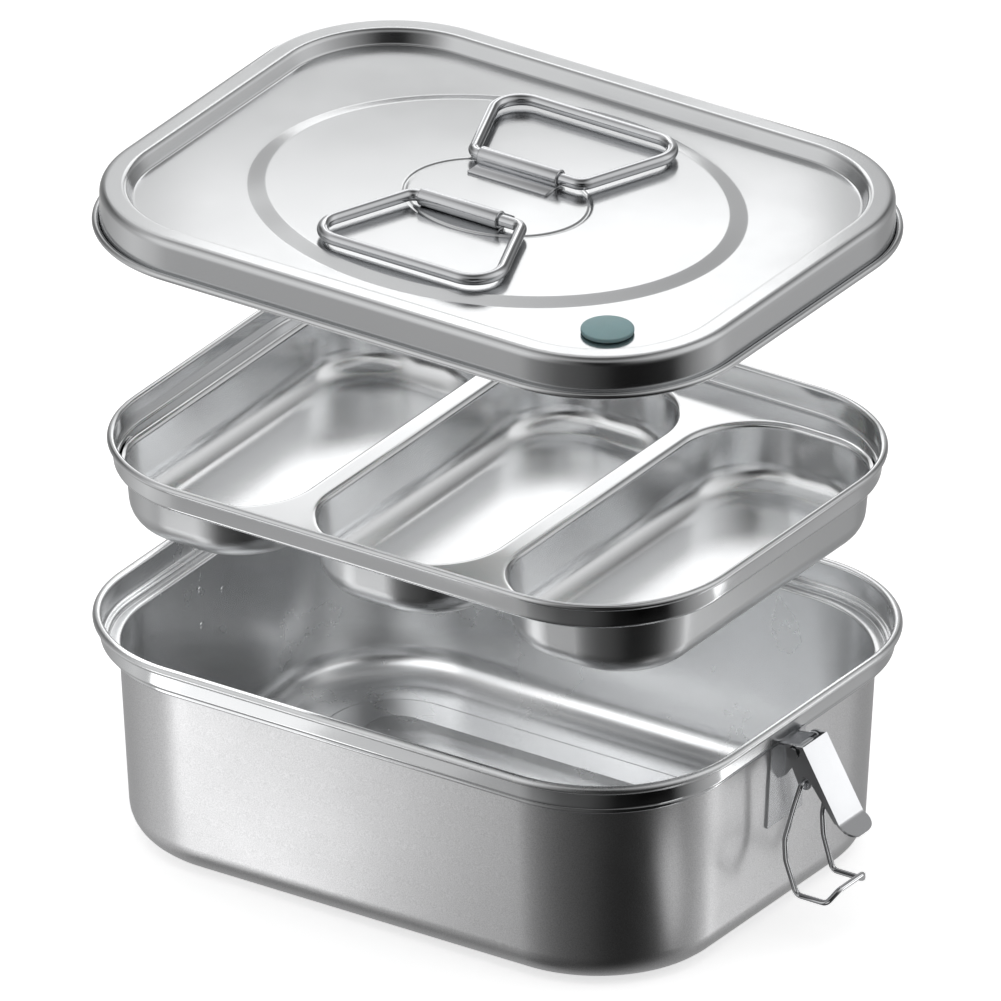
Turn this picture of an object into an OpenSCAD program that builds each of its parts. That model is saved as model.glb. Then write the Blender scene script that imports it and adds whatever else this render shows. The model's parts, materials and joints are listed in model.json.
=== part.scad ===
// Three-tier lunch box in drawn sheet steel: a deep box with two wire latches, a tray with
// three compartments that hangs inside the box's rim, and a lid with two folding handles.
// The pieces are drawn lifted apart, one above the other. Lengths are in millimetres.

/* [Box] */
// Length over the box's rolled lip
box_l = 225; // [221:1:232]
// Width over the box's rolled lip
box_w = 175; // [171:1:182]
// Height from the base to the top of the lip
box_h = 74; // [72:1:78]
// Corner radius of the lip, seen from above
lip_corner = 48; // [46:1:50]
// Slope of the box's walls from the vertical, in degrees
draft = 3.2; // [2:0.1:4]
// Radius between the walls and the floor
floor_fillet = 10; // [8:1:12]

/* [Sheet] */
// Thickness of the box's and the lid's sheet
sheet_t = 0.6; // [0.5:0.1:0.7]
// Thickness of the tray's sheet
tray_t = 0.5; // [0.4:0.1:0.5]

/* [Tray] */
// Length over the tray's rolled lip
tray_l = 217.5; // [215:0.5:217.5]
// Width over the tray's rolled lip
tray_w = 167.5; // [165:0.5:167.5]
// Depth of each compartment below the tray's deck
pan_depth = 21; // [15:1:24]
// Width of the strip of deck between two compartments
pan_gap = 7.5; // [5:0.5:9]

/* [Lid] */
// Height of the lid from its flange to its border
lid_h = 13; // [12:0.5:14]
// Depth of the lid's panel below its border
lid_recess = 4.5; // [3.5:0.5:5]
// Height of the oval raised in the middle of the panel
oval_h = 1.2; // [0.8:0.1:1.4]

/* [Handles] */
// Diameter of the handle wire
handle_d = 3.8; // [3.4:0.1:4]
// Reach of a handle from its hinge to its grip
handle_reach = 39; // [34:1:40]

/* [Latches] */
// Diameter of the latch wire
bail_d = 1.8; // [1.6:0.1:2]
// Angle at which the lever stands open, in degrees from closed
lever_open = 30; // [20:1:40]
// Width of the lever
lever_w = 13.2; // [13:0.1:13.4]

/* [Layout] */
// Height that the tray is lifted above its seat in the box
tray_lift = 61.4; // [50:0.1:70]
// Height that the lid is lifted above its seat over the tray
lid_lift = 71.3; // [60:0.1:80]

/* [Hidden] */
// Bend between the lid's skirt and its border, at the middle of the sheet
skirt_bend = 2.2;
// Room left between the seal and the lid's sheet
seal_slack = 0.08;
$fn = 64;

steel = "#cfd2d4";
steel_dark = "#a4a8ab";
wire_steel = "#e2e4e6";
silicone = "#8aa6a9";
seal_white = "#e9ece8";

clearance = 0.3;           // between pieces that part company
running = 0.05;            // radial, between a pin and its hole
wire_slack = 0.02;         // a wire's straights are this much thinner than its bends,
wire_lap = 0.2;            // and reach this far into them, so that no two surfaces are tangent

// Lip, band and seat of the box
bead_r = 1.45;
corner_x = box_l / 2 - lip_corner;      // centre of the lip's corner arcs
corner_y = box_w / 2 - lip_corner;
band_out = lip_corner - 2.3;            // outer face of the band under the lip, from that centre
band_mid = band_out - sheet_t / 2;
shelf_z = box_h - 8.6;                  // the upper shelf inside the band
seat_z = shelf_z - 2;                   // the lower shelf, where the tray sits
riser_mid = band_mid - 2.1;

// Body of the box, whose corners stay as round as the band's although its walls stand further in
body_in = 4.3;
body_r = band_mid;
body_x = corner_x - body_in;
body_y = corner_y - body_in;
wall_lean = tan(draft);
function wall_out(z) = body_x + body_r + sheet_t / 2 / cos(draft) - (seat_z - z) * wall_lean;

// Tray, measured from the top of its own lip
tray_corner = 46;
tray_x = tray_l / 2 - tray_corner;
tray_y = tray_w / 2 - tray_corner;
tray_bead_r = 1.2;
tray_mid = tray_corner - 2 * tray_bead_r + tray_t / 2;
deck_depth = 9.2;                       // from the lip to the underside of the deck
tray_seated = seat_z + clearance + deck_depth;
tray_z = tray_seated + tray_lift;
pan_l = 142;
pan_corner = 26;
pan_w = (2 * 101.25 - 2 * pan_gap) / 3;
pan_pitch = pan_w + pan_gap;
pan_fillet = 9;
pan_draft = 5;

// Lid, measured from the underside of its flange
lid_seated = box_h + clearance;
lid_z = lid_seated + tray_lift + lid_lift;
flange_out = lip_corner + 0.2;
flange_bead = 1.1;
skirt_mid = flange_out - 2.3 - sheet_t / 2;
border_w = 8;
panel_z = lid_h - lid_recess;           // top of the panel
oval_a = 80;
oval_b = 67;
oval_slope = 5.4;
oval_top = panel_z + oval_h;
vent_x = 76.3;
vent_y = -54.3;
vent_hole = 3.35;

// Handles
hinge_y = 16.5;
barrel_out = handle_d / 2 + 0.95;
barrel_from = -16.8;
barrel_to = 12;
hinge_z = lid_z + oval_top + barrel_out;
hinge_half = 20;
grip_half = 35.5;

// Latches: the lever turns on a pin, and the wire bail turns on the lever
pin_x = 112.6;
pin_z = 61.2;
pin_r = 1.25;
lever_face = 3.6;                       // from the pin to the inside of the lever's face
lever_t = 0.8;
lever_l = 26;
bail_along = 9.8;                       // from the pin to the bail's hinge, down the lever
bail_back = 1;                          // how far the bail's hinge stands behind the pin's line
bush_r = 1.6;
flange_y = lever_w / 2 - lever_t / 2;   // middle of the lever's side flanges
ear_t = 0.8;
ear_y = flange_y - lever_t / 2 - 0.35 - ear_t / 2;
bail_x = pin_x + bail_along * sin(lever_open) - bail_back * cos(lever_open);
bail_z = pin_z - bail_along * cos(lever_open) - bail_back * sin(lever_open);

// ---- shared shapes ----

function unit(v) = v / norm(v);
function left_of(v) = [-v[1], v[0]];
function arc(c, r, from, to, steps) =
    [for (i = [0:steps]) c + r * [cos(from + (to - from) * i / steps), sin(from + (to - from) * i / steps)]];
function flip(list) = [for (i = [len(list) - 1:-1:0]) list[i]];

// Offset of point i of a path to its left, mitred at the bends
function mitre(p, i, d) =
    let (before = i == 0 ? unit(p[1] - p[0]) : unit(p[i] - p[i - 1]),
         after = i == len(p) - 1 ? before : unit(p[i + 1] - p[i]),
         n = unit(left_of(before) + left_of(after)))
    p[i] + n * d / (n * left_of(after));

// A sheet of thickness t seen in section, along a path at mid thickness
module sheet(path, t) {
    left = [for (i = [0:len(path) - 1]) mitre(path, i, t / 2)];
    right = [for (i = [0:len(path) - 1]) mitre(path, i, -t / 2)];
    polygon(concat(left, flip(right)));
}

// Carries a section round a rectangle with round corners. The section's x is the distance from
// the centre of the corner arcs, which lie at plus and minus cx, cy.
module around(cx, cy) {
    for (sx = [0, 1], sy = [0, 1])
        mirror([sx, 0, 0]) mirror([0, sy, 0])
            translate([cx, cy, 0]) rotate_extrude(angle = 90) children();
    for (s = [0, 1]) {
        mirror([s, 0, 0]) translate([cx, 0, 0])
            rotate([90, 0, 0]) linear_extrude(2 * cy, center = true) children();
        mirror([0, s, 0]) rotate([0, 0, 90]) translate([cy, 0, 0])
            rotate([90, 0, 0]) linear_extrude(2 * cx, center = true) children();
    }
}

// Flat rectangle with round corners, as corner discs and two bars
module round_rect(cx, cy, r) {
    for (x = [-cx, cx], y = [-cy, cy]) translate([x, y]) circle(r);
    square([2 * cx, 2 * (cy + r)], center = true);
    square([2 * (cx + r), 2 * cy], center = true);
}

// Section of a drawn pan at mid thickness: wall, fillet and floor, ending on the corner's axis
function pan_path(top_r, top_z, floor_z, lean, fillet, emboss = []) =
    let (zc = floor_z + fillet,
         z_end = zc - fillet * sin(lean),
         xc = top_r - (top_z - z_end) * tan(lean) - fillet * cos(lean))
    concat([[top_r, top_z]], arc([xc, zc], fillet, -lean, -90, 6), emboss);

module pan(cx, cy, path, t) {
    floor_z = path[len(path) - 1][1];
    around(cx, cy) sheet(path, t);
    translate([-cx, -cy, floor_z - t / 2]) cube([2 * cx, 2 * cy, t]);
}

module oval(a, b) {
    polygon([for (i = [0:95]) [a * cos(i * 3.75), b * sin(i * 3.75)]]);
}

// Straight round bar between two points
module rod(p, q, r) {
    v = q - p;
    translate(p) rotate([0, acos(v[2] / norm(v)), atan2(v[1], v[0])]) cylinder(h = norm(v), r = r);
}

module both_sides(side) {
    if (side == "left") mirror([1, 0, 0]) children();
    else children();
}

// ---- box ----

module box_shell() {
    rim = concat(
        [[band_mid, box_h - bead_r]],
        arc([band_mid - 1.3, shelf_z - sheet_t / 2 + 1.3], 1.3, 0, -90, 4),
        [[riser_mid, shelf_z - sheet_t / 2], [riser_mid, seat_z - sheet_t / 2],
         [riser_mid - 1, seat_z - sheet_t / 2]]);
    low = sheet_t / 2;
    floor_steps = [[23.3, low], [22.3, low + 0.5], [10.3, low + 0.5], [9.3, low + 1.5], [0, low + 1.5]];
    color(steel) {
        around(corner_x, corner_y) {
            sheet(rim, sheet_t);
            translate([lip_corner - bead_r, box_h - bead_r]) circle(bead_r);
        }
        translate([0, 0, seat_z - sheet_t]) linear_extrude(sheet_t) difference() {
            round_rect(corner_x, corner_y, riser_mid);
            round_rect(body_x, body_y, body_r);
        }
        pan(body_x, body_y,
            pan_path(body_r, seat_z, low, draft, floor_fillet, floor_steps), sheet_t);
    }
}

// ---- tray ----

module tray_shell() {
    deck_mid = -deck_depth + tray_t / 2;
    rim = concat(
        [[tray_mid, -tray_bead_r]],
        arc([tray_mid - 1.2, deck_mid + 1.2], 1.2, 0, -90, 4),
        [[tray_mid - 3, deck_mid]]);
    floor_mid = deck_mid - pan_depth;
    pan_x = pan_w / 2 - pan_corner;
    pan_y = pan_l / 2 - pan_corner;
    pan_top = pan_corner - tray_t / 2;
    color(steel) translate([0, 0, tray_z]) {
        around(tray_x, tray_y) {
            sheet(rim, tray_t);
            translate([tray_corner - tray_bead_r, -tray_bead_r]) circle(tray_bead_r);
        }
        translate([0, 0, -deck_depth]) linear_extrude(tray_t) difference() {
            round_rect(tray_x, tray_y, tray_mid - 2);
            for (i = [-1:1]) translate([i * pan_pitch, 0]) round_rect(pan_x, pan_y, pan_top);
        }
        for (i = [-1:1]) translate([i * pan_pitch, 0, 0])
            pan(pan_x, pan_y,
                pan_path(pan_top, deck_mid + tray_t / 2, floor_mid, pan_draft, pan_fillet, [[0, floor_mid]]),
                tray_t);
    }
}

// ---- lid ----

module lid_shell() {
    top_mid = lid_h - sheet_t / 2;
    panel_mid = panel_z - sheet_t / 2;
    border_in = skirt_mid + sheet_t / 2 - border_w;
    section = concat(
        [[flange_out - flange_bead, sheet_t / 2], [skirt_mid, sheet_t / 2]],
        arc([skirt_mid - skirt_bend, top_mid - skirt_bend], skirt_bend, 0, 90, 5),
        [[border_in + 0.8, top_mid], [border_in, top_mid - 0.6],
         [border_in - 1.4, panel_mid + 0.7], [border_in - 2.2, panel_mid], [border_in - 7, panel_mid]]);
    slope_mid = oval_slope / 2;
    color(steel) translate([0, 0, lid_z]) {
        around(corner_x, corner_y) {
            sheet(section, sheet_t);
            translate([flange_out - flange_bead, flange_bead]) circle(flange_bead);
        }
        difference() {
            union() {
                translate([0, 0, panel_z - sheet_t]) linear_extrude(sheet_t)
                    round_rect(corner_x, corner_y, border_in - 6);
                translate([0, 0, panel_z - sheet_t]) linear_extrude(sheet_t + oval_h)
                    oval(oval_a - slope_mid + sheet_t / 2, oval_b - slope_mid + sheet_t / 2);
            }
            translate([0, 0, panel_z - 2 * sheet_t]) linear_extrude(sheet_t + oval_h)
                oval(oval_a - slope_mid - sheet_t / 2, oval_b - slope_mid - sheet_t / 2);
            translate([vent_x, vent_y, 0]) cylinder(h = lid_h, r = vent_hole);
        }
    }
}

// Seal held up in the lid's border, with a lip that reaches down to the tray's rim
module lid_gasket() {
    head_w = 5.7;
    head_h = 3;
    foot_x = lip_corner - 4.7;
    foot_z = 0.1;
    foot_r = 1.2;
    bend_r = skirt_bend - sheet_t / 2 - seal_slack;
    bend_x = skirt_mid - skirt_bend;
    bend_z = lid_h - sheet_t / 2 - skirt_bend;
    head_out = bend_x + bend_r;
    head_top = bend_z + bend_r;
    color(seal_white) translate([0, 0, lid_z]) around(corner_x, corner_y) {
        polygon(concat(
            [[head_out - head_w, head_top - head_h], [head_out, head_top - head_h]],
            arc([bend_x, bend_z], bend_r, 0, 90, 5),
            [[head_out - head_w, head_top]]));
        translate([foot_x - 0.4, foot_z]) square([1.6, head_top - 2 - foot_z]);
        translate([foot_x, foot_z]) circle(foot_r);
    }
}

module vent_plug() {
    head_r = 8.25;
    head_t = 1.4;
    dome_h = 1;
    dome_r = (head_r * head_r + dome_h * dome_h) / (2 * dome_h);
    base = panel_z + clearance;
    color(silicone) translate([vent_x, vent_y, lid_z]) {
        translate([0, 0, base]) cylinder(h = head_t, r = head_r);
        intersection() {
            translate([0, 0, base + head_t]) cylinder(h = dome_h, r = head_r);
            translate([0, 0, base + head_t + dome_h - dome_r]) sphere(dome_r);
        }
        translate([0, 0, base - 5]) cylinder(h = 5, r = 3);
        translate([0, 0, base - 5.2]) cylinder(h = 1.4, r = 4.6);
    }
}

// ---- handles ----

module handle_barrel(side) {
    foot_w = 7.8;
    color(steel_dark) translate([0, side * hinge_y, hinge_z]) difference() {
        union() {
            translate([barrel_from, 0, 0]) rotate([0, 90, 0]) cylinder(h = barrel_to - barrel_from, r = barrel_out);
            mirror([0, side < 0 ? 0 : 1, 0]) translate([barrel_from, -0.5, -barrel_out])
                cube([barrel_to - barrel_from, foot_w + 0.5, 0.8]);
        }
        translate([barrel_from - 1, 0, 0]) rotate([0, 90, 0])
            cylinder(h = barrel_to - barrel_from + 2, r = handle_d / 2 + running);
    }
}

// Closed loop of round wire lying flat, through corners p with bend radii b
module wire_loop(p, b, r) {
    n = len(p);
    function heading(i) = atan2(p[(i + 1) % n][1] - p[i][1], p[(i + 1) % n][0] - p[i][0]);
    function turn(i) = (heading(i) - heading((i + n - 1) % n) + 720) % 360;
    function cut(i) = b[i] * tan(turn(i) / 2);
    for (i = [0:n - 1]) {
        j = (i + 1) % n;
        h = heading(i);
        along = [cos(h), sin(h)];
        from = p[i] + cut(i) * along;
        to = p[j] - cut(j) * along;
        into = wire_lap * along;
        rod([from[0] - into[0], from[1] - into[1], 0], [to[0] + into[0], to[1] + into[1], 0], r - wire_slack);
        centre = from + b[i] * left_of(along);
        translate([centre[0], centre[1], 0]) rotate([0, 0, h - 90 - turn(i)])
            rotate_extrude(angle = turn(i)) translate([b[i], 0]) circle(r);
    }
}

module handle_wire(side) {
    corners = [[-hinge_half, 0], [hinge_half, 0], [grip_half, handle_reach], [-grip_half, handle_reach]];
    color(wire_steel) translate([0, side * hinge_y, hinge_z]) mirror([0, side < 0 ? 1 : 0, 0])
        wire_loop(corners, [4, 4, 9, 9], handle_d / 2);
}

// ---- latches, drawn for the right side and mirrored to the left ----

module latch_base(side) {
    plate_w = 19;
    plate_h = 28;
    plate_t = 0.8;
    weld_gap = 0.02;
    mid_z = 48.3;
    ear_top = 62.4;
    color(steel_dark) both_sides(side) {
        translate([wall_out(mid_z) + weld_gap, 0, mid_z]) rotate([0, draft, 0])
            translate([0, -plate_w / 2, -plate_h / 2]) cube([plate_t, plate_w, plate_h]);
        for (y = [-ear_y, ear_y]) translate([0, y, 0]) rotate([90, 0, 0])
            linear_extrude(ear_t, center = true) difference() {
                union() {
                    polygon([[wall_out(50) + 0.5, 50], [wall_out(62) + 0.3, ear_top - 0.3], [108.4, ear_top],
                             [pin_x, pin_z + 2.4], [pin_x + 2.1, pin_z - 1.2], [109, 52]]);
                    translate([pin_x, pin_z]) circle(2.4);
                }
                translate([pin_x, pin_z]) circle(pin_r);
            }
    }
}

module latch_pin(side) {
    head_from = lever_w / 2 + 0.35;
    head_t = 0.6;
    color(wire_steel) both_sides(side) translate([pin_x, 0, pin_z]) rotate([90, 0, 0]) {
        cylinder(h = 2 * head_from + 0.2, r = pin_r, center = true);
        for (s = [-1, 1]) translate([0, 0, s * (head_from + head_t / 2)])
            cylinder(h = head_t, r = 2, center = true);
    }
}

// Side flange of the lever: x runs outward from the pin and y up the lever
module lever_flange() {
    difference() {
        union() {
            circle(2.6);
            translate([-bail_back, -bail_along]) circle(2.5);
            polygon([[-2.5, 0.6], [0, 2.6], [lever_face + lever_t, 0.6], [lever_face + lever_t, -lever_l],
                     [lever_face - 0.6, -lever_l + 1], [1.2, -bail_along - 1.4], [-bail_back - 2.4, -bail_along + 0.6]]);
        }
        circle(pin_r + running);
        translate([-bail_back, -bail_along]) circle(bush_r + running);
    }
}

module latch_lever(side) {
    tab_l = 5.5;
    tab_r = 4.5;
    tab_angle = 27;
    crease_r = 3.4;
    face_mid = lever_face + lever_t / 2;
    crease_c = [face_mid + crease_r, crease_r * tan(tab_angle / 2) - lever_l];
    crease = arc(crease_c, crease_r, 180, 180 + tab_angle, 6);
    crease_end = crease[len(crease) - 1];
    color(wire_steel) both_sides(side) translate([pin_x, 0, pin_z]) rotate([0, -lever_open, 0]) {
        for (y = [-flange_y, flange_y]) translate([0, y, 0]) rotate([90, 0, 0])
            linear_extrude(lever_t, center = true) lever_flange();
        rotate([90, 0, 0]) linear_extrude(lever_w, center = true)
            sheet(concat([[face_mid, 0.6]], crease), lever_t);
        translate([crease_end[0], 0, crease_end[1]]) rotate([0, 90 - tab_angle, 0])
            linear_extrude(lever_t, center = true) {
            translate([-0.2, -lever_w / 2]) square([tab_l - tab_r, lever_w]);
            for (y = [tab_r - lever_w / 2, lever_w / 2 - tab_r]) translate([tab_l - tab_r, y]) circle(tab_r);
            translate([0, tab_r - lever_w / 2]) square([tab_l, lever_w - 2 * tab_r]);
        }
    }
}

module bail_bushes(side) {
    color(steel_dark) both_sides(side) for (s = [-1, 1])
        translate([bail_x, s * (flange_y - 0.1), bail_z]) rotate([90, 0, 0]) difference() {
            cylinder(h = lever_t + 0.5, r = bush_r, center = true);
            cylinder(h = lever_t + 2, r = bail_d / 2 + running, center = true);
        }
}

// The bail hangs from its hinge: x is outward, y along the box's side and z up, from the hinge
module latch_bail(side) {
    r = bail_d / 2;
    half = [
        [0, 5.2, 0], [0, 8.1, 0], [-2, 9.3, -8], [-4.6, 10.4, -19], [-4.2, 10.4, -26],
        [-0.5, 10, -37.1], [10.4, 10, -37.1], [12.6, 6.5, -33.4],
    ];
    last = half[len(half) - 1];
    color(wire_steel) both_sides(side) translate([bail_x, 0, bail_z]) {
        for (s = [0, 1]) mirror([0, s, 0]) for (i = [0:len(half) - 2]) {
            rod(half[i], half[i + 1], r - wire_slack);
            translate(half[i + 1]) sphere(r);
        }
        rod([last[0], -last[1], last[2]], last, r - wire_slack);
    }
}

box_shell();
tray_shell();
lid_shell();
lid_gasket();
vent_plug();
handle_barrel(-1);  // handle_barrel_front
handle_barrel(1);  // handle_barrel_rear
handle_wire(-1);  // handle_wire_front
handle_wire(1);  // handle_wire_rear
latch_base("right");  // latch_base_right
latch_base("left");  // latch_base_left
latch_pin("right");  // latch_pin_right
latch_pin("left");  // latch_pin_left
latch_lever("right");  // latch_lever_right
latch_lever("left");  // latch_lever_left
bail_bushes("right");  // bail_bushes_right
bail_bushes("left");  // bail_bushes_left
latch_bail("right");  // latch_bail_right
latch_bail("left");  // latch_bail_left
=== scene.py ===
"""Finished look of a three-tier steel lunch box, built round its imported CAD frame.

The drawn shells, the seal, the plug, the wires and the latch parts are surfaces worked out from
the frame's own sizes: a section carried round a rectangle with round corners, or a round
section carried along a bent line. Lengths in the functions are millimetres until they become
a mesh, which is in metres.
"""

import json
import math

import bmesh
import bpy
import numpy as np
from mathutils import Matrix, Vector


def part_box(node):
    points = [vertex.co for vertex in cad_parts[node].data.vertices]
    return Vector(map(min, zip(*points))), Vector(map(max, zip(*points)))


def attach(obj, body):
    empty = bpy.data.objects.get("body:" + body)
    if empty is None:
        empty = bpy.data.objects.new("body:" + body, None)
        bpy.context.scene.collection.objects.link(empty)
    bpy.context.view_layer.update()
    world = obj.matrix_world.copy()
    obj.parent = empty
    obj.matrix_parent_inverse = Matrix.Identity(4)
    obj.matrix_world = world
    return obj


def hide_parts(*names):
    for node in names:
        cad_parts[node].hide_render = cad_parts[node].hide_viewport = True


bl_info = {
    "name": "Steel lunch box",
    "version": (1, 0, 0),
    "blender": (4, 5, 0),
    "location": "View3D > Sidebar > Lunch box",
    "description": "Builds the shells, wires, latches and finishes of a steel lunch box",
    "category": "Add Mesh",
}

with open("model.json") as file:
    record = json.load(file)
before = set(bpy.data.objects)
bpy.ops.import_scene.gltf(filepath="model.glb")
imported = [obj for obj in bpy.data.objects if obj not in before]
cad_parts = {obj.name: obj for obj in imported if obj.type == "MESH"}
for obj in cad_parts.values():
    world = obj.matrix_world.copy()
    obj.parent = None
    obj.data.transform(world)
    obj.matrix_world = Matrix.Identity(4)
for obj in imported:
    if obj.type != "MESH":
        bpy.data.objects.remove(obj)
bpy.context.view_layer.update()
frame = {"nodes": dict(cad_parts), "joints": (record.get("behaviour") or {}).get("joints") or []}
MM = 1000.0  # millimetres in a metre
JOINTS = {joint["name"]: joint for joint in frame["joints"]}


def cad_mm(node):
    """Lowest and highest corner of a CAD node in millimetres."""
    low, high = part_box(node)
    return np.array(low) * MM, np.array(high) * MM


BOX_LOW, BOX_HIGH = cad_mm("box_shell")
TRAY_LOW, TRAY_HIGH = cad_mm("tray_shell")
LID_LOW, LID_HIGH = cad_mm("lid_shell")
PLUG_LOW, PLUG_HIGH = cad_mm("vent_plug")
HINGE_FRONT = np.array(JOINTS["front_handle_fold"]["pos_m"]) * MM
HINGE_REAR = np.array(JOINTS["rear_handle_fold"]["pos_m"]) * MM
LEVER_PIN = np.array(JOINTS["right_lever_swing"]["pos_m"]) * MM
BAIL_PIN = np.array(JOINTS["right_bail_swing"]["pos_m"]) * MM
BAND_IN = 2.3     # from the edge of the box's or lid's lip in to the outside of its band or skirt
STEP_IN = 4.3     # from the box's band in to its wall
SHELF_DOWN = 8.6  # from the top of the box's lip down to its upper shelf
SEAT_DOWN = 10.6  # and down to the lower shelf, on which the tray sits


# ---- sections: paths in the plane of a cut, x outward and z up ----


def bent(points, arc_step=12.0, support=0.25):
    """A path through (x, z, radius) points with each inner corner rounded by an arc of its radius.
    Straights get a point a short way from each bend, so that a flat stays flat in the shading."""
    p = np.array([[a, b] for a, b, _ in points], float)
    radii = [r for *_, r in points]
    out = [p[0]]
    for i in range(1, len(p) - 1):
        before = (p[i] - p[i - 1]) / np.linalg.norm(p[i] - p[i - 1])
        after = (p[i + 1] - p[i]) / np.linalg.norm(p[i + 1] - p[i])
        turn = math.atan2(before[0] * after[1] - before[1] * after[0], before @ after)
        cut = radii[i] * math.tan(abs(turn) / 2)
        start = p[i] - before * cut
        if abs(turn) < 1e-6 or radii[i] == 0:
            out.append(p[i])
            continue
        side = np.sign(turn)
        centre = start + side * radii[i] * np.array([-before[1], before[0]])
        steps = max(3, int(math.degrees(abs(turn)) / arc_step) + 1)
        angles = np.linspace(0, turn, steps + 1)
        arm = start - centre
        turned = np.stack([arm[0] * np.cos(angles) - arm[1] * np.sin(angles),
                           arm[0] * np.sin(angles) + arm[1] * np.cos(angles)], 1) + centre
        if np.linalg.norm(start - out[-1]) > 3 * support:
            out.append(start - before * support)
        out.extend(turned)
        room = np.linalg.norm(p[i + 1] - turned[-1])
        if room > 3 * support:
            out.append(turned[-1] + after * support)
    out.append(p[-1])
    return np.array(out)


def curl(centre, radius, start, end, steps=26):
    """Arc of a rolled lip about its centre, from one angle to another in degrees."""
    a = np.radians(np.linspace(start, end, steps))
    return np.stack([centre[0] + radius * np.cos(a), centre[1] + radius * np.sin(a)], 1)


def offset(path, distance):
    """The path moved to its left by a distance: each point goes along the mean of its two normals,
    stretched so that the straights move by exactly that distance."""
    step = np.diff(path, axis=0)
    step /= np.linalg.norm(step, axis=1, keepdims=True)
    normal = np.stack([-step[:, 1], step[:, 0]], 1)
    before = np.vstack([normal[:1], normal])
    after = np.vstack([normal, normal[-1:]])
    mean = before + after
    mean /= np.linalg.norm(mean, axis=1, keepdims=True)
    stretch = np.clip((mean * after).sum(1), 0.5, 1)
    return path + mean * (distance / stretch)[:, None]


# ---- surfaces ----


def round_rect_columns(cx, cy, corner_steps=30, side_steps=24):
    """Skeleton points and outward normals round a rectangle with round corners, anticlockwise from
    the middle of its +X side: along a side the normal is fixed, and at a corner the point is."""
    side = np.linspace(-1, 1, side_steps, endpoint=False)
    angle = np.linspace(0, math.pi / 2, corner_steps, endpoint=False)
    points, normals = [], []
    ends = [(cx, cy, 0), (-cx, cy, 1), (-cx, -cy, 2), (cx, -cy, 3)]
    for x, y, quarter in ends:
        turn = quarter * math.pi / 2
        n = np.array([math.cos(turn), math.sin(turn)])
        along = np.array([0, cy]) if quarter % 2 == 0 else np.array([cx, 0])
        way = 1 if quarter in (0, 3) else -1
        middle = n * (cx if quarter % 2 == 0 else cy)
        points.append(middle + side[:, None] * along * way)
        normals.append(np.tile(n, (side_steps, 1)))
        points.append(np.tile([x, y], (corner_steps, 1)))
        normals.append(np.stack([np.cos(angle + turn), np.sin(angle + turn)], 1))
    return np.vstack(points), np.vstack(normals)


def carried(path, columns, cx, cy, shift=None):
    """Carries a section round the columns: point = skeleton + x * normal, height z. A shift moves
    the skeleton inward and adds as much to the radius, which rounds the corners more."""
    skeleton, normal = columns
    shift = np.zeros(len(path)) if shift is None else shift
    scale = np.stack([(cx - shift) / cx, (cy - shift) / cy], 1)
    reach = (path[:, 0] + shift)[:, None, None]
    flat = skeleton[None] * scale[:, None, :] + reach * normal[None]
    z = np.broadcast_to(path[:, 1][:, None, None], flat.shape[:2] + (1,))
    return np.concatenate([flat, z], 2)


def shrink_to_centre(row, steps, centre=(0.0, 0.0), last=0.0):
    """Copies of an outline scaled evenly towards a centre, the smallest first."""
    k = np.linspace(last, 1, steps, endpoint=False)[:, None, None]
    middle = np.array([centre[0], centre[1], 0.0])
    flat = (row - middle)[None] * k + middle
    flat[..., 2] = row[None, :, 2]
    return flat


def tube(path, radius, sides=20, closed=False):
    """Round section carried along a line in space: ring point = path + radius * (cos a * u + sin a * v),
    where u and v stay square to the line and turn as little as they can."""
    path = np.asarray(path, float)
    if closed:
        tangent = np.roll(path, -1, 0) - np.roll(path, 1, 0)
    else:
        tangent = np.gradient(path, axis=0)
    tangent /= np.linalg.norm(tangent, axis=1, keepdims=True)
    u = np.cross(tangent[0], [0.0, 0.0, 1.0])
    if np.linalg.norm(u) < 0.1:
        u = np.cross(tangent[0], [1.0, 0.0, 0.0])
    frames = []
    for t in tangent:
        u = u - t * (u @ t)
        u /= np.linalg.norm(u)
        frames.append(u)
    u = np.array(frames)
    v = np.cross(tangent, u)
    a = np.linspace(0, 2 * math.pi, sides, endpoint=False)[None, :, None]
    radius = np.broadcast_to(radius, len(path))[:, None, None]
    return path[:, None] + radius * (np.cos(a) * u[:, None] + np.sin(a) * v[:, None])


def bent_line(points, arc_step=9.0):
    """Line in space through (x, y, z, radius) points, with each inner corner rounded by an arc in
    the plane of its two straights."""
    p = np.array([q[:3] for q in points], float)
    out = [p[0]]
    for i in range(1, len(p) - 1):
        before = (p[i] - p[i - 1]) / np.linalg.norm(p[i] - p[i - 1])
        after = (p[i + 1] - p[i]) / np.linalg.norm(p[i + 1] - p[i])
        turn = math.acos(np.clip(before @ after, -1, 1))
        side = after - before * (before @ after)
        side /= np.linalg.norm(side)
        radius = points[i][3]
        start = p[i] - before * radius * math.tan(turn / 2)
        a = np.linspace(0, turn, max(3, int(math.degrees(turn) / arc_step) + 1))[:, None]
        out.extend(start + radius * (np.sin(a) * before + (1 - np.cos(a)) * side))
    out.append(p[-1])
    return np.array(out)


def grid_faces(rows, columns, wrap_rows=False, wrap_columns=True):
    """Quads of a grid of points, row by row, joined round the columns and, if asked, the rows."""
    i = np.arange(rows if wrap_rows else rows - 1)[:, None]
    j = np.arange(columns if wrap_columns else columns - 1)[None]
    i2, j2 = (i + 1) % rows, (j + 1) % columns
    corners = [i * columns + j, i * columns + j2, i2 * columns + j2, i2 * columns + j]
    return np.stack(corners, -1).reshape(-1, 4)


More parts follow.
